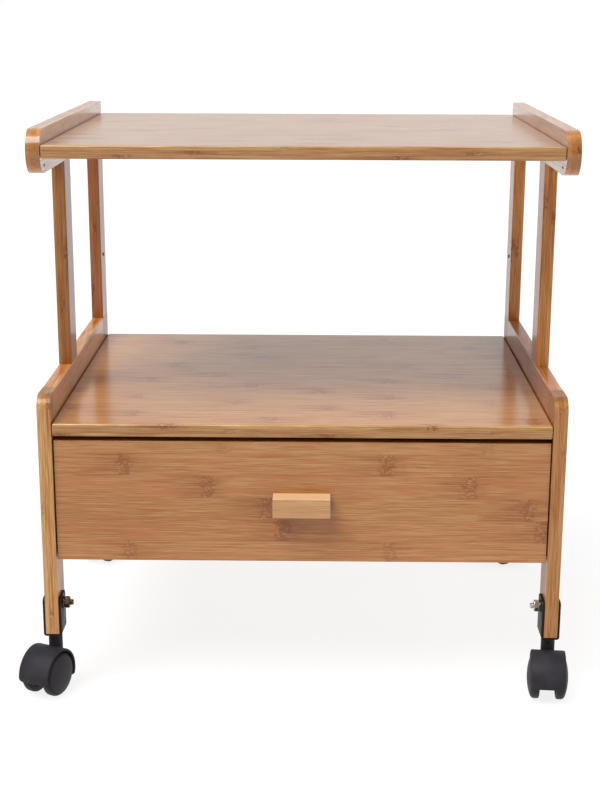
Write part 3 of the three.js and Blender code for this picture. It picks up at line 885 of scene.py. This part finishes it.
def caster_bolt(node, sign):
    """Bolt through the leg, its head at -X: cross head outside, plain shank, thread
    inside."""
    low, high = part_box(node)
    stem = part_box(node.replace("bolt", "stem"))
    middle = (stem[0].x + stem[1].x) / 2
    reaches = sorted((abs(low.x - middle), abs(high.x - middle)))
    outside = abs((low.x if sign < 0 else high.x) - middle)
    inside = next(reach for reach in reaches if abs(reach - outside) > 1e-6)
    head_radius = (high.z - low.z) / 2
    head = cross_head(head_radius, BOLT_HEAD, head_radius * 0.6, 0.75 * MM)
    face = -outside + BOLT_HEAD
    bmesh.ops.translate(head, verts=head.verts, vec=(face, 0.0, 0.0))
    shank_end = 6 * MM
    rod = [(0, face), (BOLT_RADIUS, face), (BOLT_RADIUS, shank_end), (0, shank_end)]
    shank = turned(rod, "X", 24)
    bolt = join(head, shank, threaded_rod(BOLT_RADIUS, shank_end, inside))
    bmesh.ops.translate(bolt, verts=bolt.verts, vec=(0.0, 0.0, (low.z + high.z) / 2))
    return bolt


def caster_nut(node):
    """Hexagon nut, its corners chamfered at 30 degrees, and the washer it sits on."""
    low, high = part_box(node)
    height = high.x - low.x - WASHER

    def hexagon(turn):
        return NUT_HALF_FLATS / math.cos((turn % (math.pi / 3)) - math.pi / 6)
    levels = [0.0, 0.15, 0.3, 0.5, 0.8]
    rise = [(NUT_HALF_FLATS * 0.96 + level * 1.73 * MM, level * MM) for level in levels]
    bore = 2.6 * MM
    body = [(bore + 0.5 * MM, 0.0)] + rise
    body += [(radius, height - level) for radius, level in reversed(rise)]
    body += [(bore + 0.5 * MM, height), (bore, height - 0.5 * MM), (bore, 0.5 * MM)]
    body.append(body[0])
    nut = turned(body, "X", 72, hexagon)
    section = [(bore, 0.0), (WASHER_RADIUS, 0.0), (WASHER_RADIUS, WASHER), (bore, WASHER)]
    ring = rounded(section, 0.25 * MM)
    washer = turned(ring + [ring[0]], "X")
    bmesh.ops.translate(nut, verts=nut.verts, vec=(WASHER, 0.0, 0.0))
    return nut, washer


def stand_for(bm, name, node, material, slot=None):
    """Adds a finished piece. It shows in place of its CAD node, unless slot is given: then it
    is a further piece beside the one that does."""
    piece = add_object(name, mesh_from(bm, name), material, node_body(node))
    if slot is None:
        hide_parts(node)
    return piece


def stem_profile(node):
    """The stem's pin, with a wider neck between the hood and the bracket."""
    low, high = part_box(node)
    neck = (high.x - low.x) / 2
    pin = PIN_RADIUS
    hood_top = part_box(node.replace("stem", "hood"))[1].z
    shoulder = hood_top + 0.3 * MM
    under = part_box(node.replace("stem", "bracket"))[0].z - 0.3 * MM
    return rounded([(0, low.z), (pin, low.z), (pin, shoulder), (neck, shoulder),
                    (neck, under), (pin, under), (pin, high.z), (0, high.z)], 0.5 * MM)


def casters():
    """The four casters with their brackets, bolts and nuts."""
    nylon = matte_black("caster_nylon", 36, 0.62)
    disc = matte_black("wheel_nylon", 30, 0.55)
    steel = matte_black("pin_black", 20, 0.4)
    coat = powder_coat("powder_coat")
    plating = {
        # The left bolts and nuts: golden zinc, its colour painted darker as a painted dark
        # reflection that holds back the key light's highlight.
        "left": zinc("zinc_golden_painted_dark", (0.16, 0.1, 0.04, 1.0), (0.09, 0.07, 0.045, 1.0), 0.26),
        "right": zinc("zinc_pale", (0.7, 0.68, 0.56, 1.0), (0.56, 0.56, 0.5, 1.0), 0.24),
    }
    dark_washer = zinc("dark_washer", (0.16, 0.13, 0.11, 1.0), (0.1, 0.09, 0.09, 1.0), 0.36)
    for corner in CORNERS:
        side = corner.split("_")[1]
        sign = -1 if side == "left" else 1
        low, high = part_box(f"caster_stem_{corner}")
        place = Matrix.Translation(((low.x + high.x) / 2, (low.y + high.y) / 2, 0.0))
        inward = place @ Matrix.Scale(-sign, 4, (1, 0, 0))
        turned_place = place @ Matrix.Rotation(math.radians(SWIVEL[corner]), 4, "Z")

        def put(bm, part, node, material, where, slot=None):
            bmesh.ops.transform(bm, matrix=where, verts=bm.verts)
            stand_for(bm, f"{part}_{corner}", node, material, slot)
        put(caster_bracket(f"caster_bracket_{corner}"), "bracket",
            f"caster_bracket_{corner}", coat, place)
        put(turned(stem_profile(f"caster_stem_{corner}"), "Z"), "stem",
            f"caster_stem_{corner}", steel, place)
        put(caster_bolt(f"caster_bolt_{corner}", sign), "bolt",
            f"caster_bolt_{corner}", plating[side], inward)
        nut_node = f"caster_nut_{corner}"
        nut, washer = caster_nut(nut_node)
        nut_low, nut_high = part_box(nut_node)
        middle = (low.x + high.x) / 2
        face = min(abs(nut_low.x - middle), abs(nut_high.x - middle))
        seat = inward @ Matrix.Translation((face, 0.0, (nut_low.z + nut_high.z) / 2))
        put(nut, "nut", nut_node, plating[side], seat)
        put(washer, "washer", nut_node, dark_washer, seat, node_slot(nut_node))
        put(caster_hood(), "hood", f"caster_hood_{corner}", nylon, turned_place)
        reach = WHEEL_OUTER - 1.3 * MM
        rod = [(0, -reach), (AXLE_RADIUS, -reach), (AXLE_RADIUS, reach), (0, reach)]
        axle = turned(rounded(rod, 0.5 * MM), "X")
        bmesh.ops.translate(axle, verts=axle.verts, vec=(0.0, -TRAIL, wheel_radius))
        put(axle, "axle", f"caster_axle_{corner}", steel, turned_place)
        for wheel, flip in (("right", 1), ("left", -1)):
            where = turned_place @ Matrix.Scale(flip, 4, (1, 0, 0))
            put(caster_wheel(), f"tyre_{wheel}", f"wheel_{corner}_{wheel}", disc, where)


# ---------------------------------------------------------------- small parts
def pull_screws():
    """Pan-head wood screws: cross head inside the drawer, thread into the pull."""
    plated = zinc("screw_zinc", (0.55, 0.55, 0.52, 1.0), (0.45, 0.44, 0.42, 1.0), 0.3)
    for side in ("left", "right"):
        node = f"pull_screw_{side}"
        low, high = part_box(node)
        radius = (high.x - low.x) / 2
        length = high.y - low.y
        thread = length - SCREW_HEAD - SCREW_TIP
        head = cross_head(radius, SCREW_HEAD, radius * 0.6, 0.45 * MM)
        rod = threaded_rod(radius / 2, 0.0, thread)
        tip = turned([(0, 0.0), (radius / 2, 0.0), (0, SCREW_TIP)], "X", 24)
        bmesh.ops.translate(tip, verts=tip.verts, vec=(thread, 0.0, 0.0))
        screw = join(head, rod, tip)
        middle = (low + high) / 2
        where = Matrix.Translation((middle.x, high.y - SCREW_HEAD, middle.z))
        where @= Matrix.Rotation(math.radians(-90), 4, "Z")
        bmesh.ops.transform(screw, matrix=where, verts=screw.verts)
        stand_for(screw, f"screw_{side}", node, plated)


def plugs():
    """Little dark plugs on the inner faces of the rails and of the rear posts."""
    material = dark_plug("plug_wood")
    for side, sign in (("left", -1), ("right", 1)):
        rail_low, rail_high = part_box(f"guard_rail_{side}")
        post_low, post_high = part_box(f"post_rear_{side}")
        inner = rail_high.x if sign < 0 else rail_low.x
        on_rail = (rail_low.y + RAIL_PLUG_PLACE[0], rail_low.z + RAIL_PLUG_PLACE[1])
        on_post = ((post_low.y + post_high.y) / 2, post_low.z + POST_PLUG_HEIGHT)
        for name, node, radius, (y, z) in (
            ("rail", f"guard_rail_{side}", RAIL_PLUG_RADIUS, on_rail),
            ("post", f"post_rear_{side}", POST_PLUG_RADIUS, on_post),
        ):
            foot, proud = -0.5 * MM, radius * 0.45
            dome = [(0, foot), (radius, foot), (radius, proud), (0, proud)]
            bm = turned(rounded(dome, 0.4 * MM), "X", 24)
            where = Matrix.Translation((inner, y, z)) @ Matrix.Scale(-sign, 4, (1, 0, 0))
            bmesh.ops.transform(bm, matrix=where, verts=bm.verts)
            stand_for(bm, f"plug_{name}_{side}", node, material, node_slot(node))


# ---------------------------------------------------------------- studio
def surround():
    """White to the camera; as a light, bright behind the cart, dimmer overhead and in
    front."""
    world = bpy.data.worlds.new("studio")
    bpy.context.scene.world = world
    world.use_nodes = True
    tree = world.node_tree
    background = tree.nodes["Background"]
    background.inputs["Color"].default_value = (1.0, 1.0, 1.0, 1.0)
    direction = tree.nodes.new("ShaderNodeTexCoord").outputs["Generated"]
    split = tree.nodes.new("ShaderNodeSeparateXYZ")
    tree.links.new(direction, split.inputs[0])

    def ramp(value, limits, levels):
        made = tree.nodes.new("ShaderNodeMapRange")
        made.interpolation_type = "SMOOTHSTEP"
        tree.links.new(value, made.inputs["Value"])
        for key, number in zip(("From Min", "From Max", "To Min", "To Max"), limits + levels):
            made.inputs[key].default_value = number
        return made.outputs["Result"]

    def combine(operation, first, second):
        made = tree.nodes.new("ShaderNodeMath")
        made.operation = operation
        tree.links.new(first, made.inputs[0])
        tree.links.new(second, made.inputs[1])
        return made.outputs[0]
    depth = ramp(split.outputs["Y"], (-0.35, 0.1), (SURROUND_FRONT, SURROUND_BACK))
    height = ramp(split.outputs["Z"], (0.35, 0.85), (1.0, SURROUND_TOP))
    seen = tree.nodes.new("ShaderNodeLightPath").outputs["Is Camera Ray"]
    strength = combine("MAXIMUM", combine("MULTIPLY", depth, height), seen)
    tree.links.new(strength, background.inputs["Strength"])


def soft_sun(name, direction, strength, angle):
    """A sun that shines from direction. A wide angle in degrees gives soft shadows."""
    light = bpy.data.lights.new(name, "SUN")
    light.energy = strength
    light.angle = math.radians(angle)
    lamp = bpy.data.objects.new(name, light)
    lamp.rotation_euler = (-direction).to_track_quat("-Z", "Y").to_euler()
    bpy.context.scene.collection.objects.link(lamp)


def studio():
    """The floor, the surround and the lights."""
    bm = bmesh.new()
    bmesh.ops.create_grid(bm, x_segments=8, y_segments=8, size=20.0)
    mesh = mesh_from(bm, "floor")
    mesh.materials.append(backdrop_white())
    floor = bpy.data.objects.new("floor", mesh)
    bpy.context.scene.collection.objects.link(floor)
    surround()
    soft_sun("key_light", KEY_DIRECTION, KEY_STRENGTH, KEY_ANGLE)
    soft_sun("fill_light", FILL_DIRECTION, FILL_STRENGTH, FILL_ANGLE)
    bpy.context.scene.view_settings.view_transform = "Standard"


def camera():
    """The camera, in front of the cart and looking a little down."""
    low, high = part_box("lower_shelf")
    anchor = Vector(((low.x + high.x) / 2, low.y, high.z))
    data = bpy.data.cameras.new("camera")
    data.lens = CAMERA_LENS
    data.sensor_width = 36.0
    made = bpy.data.objects.new("camera", data)
    turn = Matrix.Rotation(math.radians(CAMERA_YAW), 4, "Z")
    tilt = Matrix.Rotation(math.radians(90 + CAMERA_PITCH), 4, "X")
    roll = Matrix.Rotation(math.radians(CAMERA_ROLL), 4, "Z")
    made.matrix_world = Matrix.Translation(anchor + CAMERA_OFFSET) @ turn @ tilt @ roll
    bpy.context.scene.collection.objects.link(made)
    bpy.context.scene.camera = made


camera()
studio()
boards()
drawer_box()
plugs()
casters()
pull_screws()
